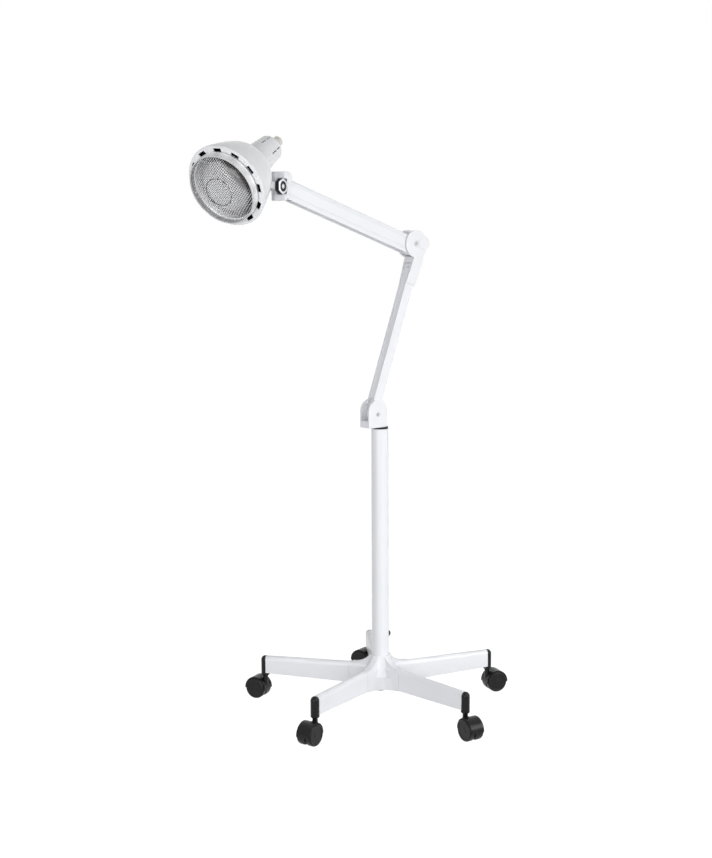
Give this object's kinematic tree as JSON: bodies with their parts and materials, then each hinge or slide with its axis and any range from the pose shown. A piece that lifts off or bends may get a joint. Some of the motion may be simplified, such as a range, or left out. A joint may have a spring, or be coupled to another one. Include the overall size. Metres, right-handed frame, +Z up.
{
  "type": "infrared hair processor lamp on a castered stand",
  "caption": "Bell-shaped infrared lamp on a jointed two-part arm over a straight mast and a five-star base with twin-wheel casters.",
  "frame": {"origin": "on the floor under the mast's axis", "axes": "+Z up along the mast; the lamp head looks towards -X, turned slightly to -Y, and -Y is the arm's near side"},
  "size_m": [0.8378, 0.6135, 1.3181],
  "materials": {
    "body_white": "satin",
    "shell_plastic": "satin",
    "black_plastic": "satin",
    "dark_steel": "satin",
    "steel": "satin",
    "bearing_plastic": "matte",
    "guard_steel": "satin",
    "lamp_glass": "gloss",
    "cap_metal": "satin",
    "holder_ceramic": "matte",
    "knob_plastic": "satin"
  },
  "bodies": {
    "base": {"base_hub": "body_white", "leg_1": "body_white", "leg_2": "body_white", "leg_3": "body_white", "leg_4": "body_white", "leg_5": "body_white", "leg_cap_1": "black_plastic", "leg_cap_2": "black_plastic", "leg_cap_3": "black_plastic", "leg_cap_4": "black_plastic", "leg_cap_5": "black_plastic", "pole": "body_white", "pole_bolt": "dark_steel", "pole_washer": "dark_steel", "pole_bush": "bearing_plastic", "cable_gland": "black_plastic"},
    "caster_1": {"caster_hood_1": "black_plastic"},
    "wheels_1": {"caster_wheels_1": "black_plastic", "caster_axle_1": "steel"},
    "caster_2": {"caster_hood_2": "black_plastic"},
    "wheels_2": {"caster_wheels_2": "black_plastic", "caster_axle_2": "steel"},
    "caster_3": {"caster_hood_3": "black_plastic"},
    "wheels_3": {"caster_wheels_3": "black_plastic", "caster_axle_3": "steel"},
    "caster_4": {"caster_hood_4": "black_plastic"},
    "wheels_4": {"caster_wheels_4": "black_plastic", "caster_axle_4": "steel"},
    "caster_5": {"caster_hood_5": "black_plastic"},
    "wheels_5": {"caster_wheels_5": "black_plastic", "caster_axle_5": "steel"},
    "mast_fork": {"swivel_fork": "body_white", "swivel_spigot": "steel", "lower_pivot_pin": "steel", "lower_pivot_washers": "bearing_plastic"},
    "lower_arm": {"lower_arm_channel": "body_white", "lower_arm_strip": "body_white", "lower_arm_foot": "body_white", "elbow_yoke": "body_white", "elbow_pin": "steel", "elbow_washers": "bearing_plastic"},
    "upper_arm": {"upper_arm_root": "body_white", "upper_arm_channel": "body_white", "upper_arm_cover": "body_white", "head_clevis": "body_white", "swivel_pins": "steel"},
    "head_swivel": {"swivel_block": "body_white", "tilt_bolt": "steel", "tilt_nut": "dark_steel", "tilt_washer": "steel"},
    "head": {"head_bracket": "body_white", "bracket_screws": "steel", "bell_shell": "body_white", "neck_shell": "shell_plastic", "front_ring": "shell_plastic", "mesh_guard": "guard_steel", "bulb": "lamp_glass", "bulb_cap": "cap_metal", "lamp_holder": "holder_ceramic"},
    "knob": {"switch_knob": "knob_plastic"}
  },
  "joints": [
    {"name": "caster_swivel_1", "type": "hinge", "parent": "base", "child": "caster_1", "pos_m": [0, -0.284, 0.06], "axis": [0, 0, 1], "continuous": true},
    {"name": "caster_roll_1", "type": "hinge", "parent": "caster_1", "child": "wheels_1", "pos_m": [-0.00296, -0.30378, 0.025], "axis": [0.989, -0.1478, 0], "continuous": true},
    {"name": "caster_swivel_2", "type": "hinge", "parent": "base", "child": "caster_2", "pos_m": [0.2701, -0.08776, 0.06], "axis": [0, 0, 1], "continuous": true},
    {"name": "caster_roll_2", "type": "hinge", "parent": "caster_2", "child": "wheels_2", "pos_m": [0.28907, -0.09411, 0.025], "axis": [0.3173, 0.9483, 0], "continuous": true},
    {"name": "caster_swivel_3", "type": "hinge", "parent": "base", "child": "caster_3", "pos_m": [0.16693, 0.22976, 0.06], "axis": [0, 0, 1], "continuous": true},
    {"name": "caster_roll_3", "type": "hinge", "parent": "caster_3", "child": "wheels_3", "pos_m": [0.16175, 0.24908, 0.025], "axis": [-0.9659, -0.2588, 0], "continuous": true},
    {"name": "caster_swivel_4", "type": "hinge", "parent": "base", "child": "caster_4", "pos_m": [-0.16693, 0.22976, 0.06], "axis": [0, 0, 1], "continuous": true},
    {"name": "caster_roll_4", "type": "hinge", "parent": "caster_4", "child": "wheels_4", "pos_m": [-0.17458, 0.24824, 0.025], "axis": [-0.9239, -0.3827, 0], "continuous": true},
    {"name": "caster_swivel_5", "type": "hinge", "parent": "base", "child": "caster_5", "pos_m": [-0.2701, -0.08776, 0.06], "axis": [0, 0, 1], "continuous": true},
    {"name": "caster_roll_5", "type": "hinge", "parent": "caster_5", "child": "wheels_5", "pos_m": [-0.28946, -0.09277, 0.025], "axis": [0.2504, -0.9681, 0], "continuous": true},
    {"name": "mast_swivel", "type": "hinge", "parent": "base", "child": "mast_fork", "pos_m": [0, 0, 0.66], "axis": [0, 0, 1], "range_deg": [-175, 175]},
    {"name": "lower_arm_tilt", "type": "hinge", "parent": "mast_fork", "child": "lower_arm", "pos_m": [-0.0195, 0, 0.7], "axis": [0, -1, 0], "range_deg": [-25, 75]},
    {"name": "elbow_tilt", "type": "hinge", "parent": "lower_arm", "child": "upper_arm", "pos_m": [0.0992, 0, 1.0871], "axis": [0, -1, 0], "range_deg": [-65, 30]},
    {"name": "head_swivel", "type": "hinge", "parent": "upper_arm", "child": "head_swivel", "pos_m": [-0.296, 0, 1.212], "axis": [0, 0, 1], "range_deg": [-75, 40]},
    {"name": "head_tilt", "type": "hinge", "parent": "head_swivel", "child": "head", "pos_m": [-0.296, 0, 1.212], "axis": [0.3024, -0.9532, 0], "range_deg": [-18, 40]},
    {"name": "switch_turn", "type": "hinge", "parent": "head", "child": "knob", "pos_m": [-0.30118, -0.00164, 1.29749], "axis": [0.8424, 0.2672, 0.4679], "range_deg": [0, 90]}
  ]
}
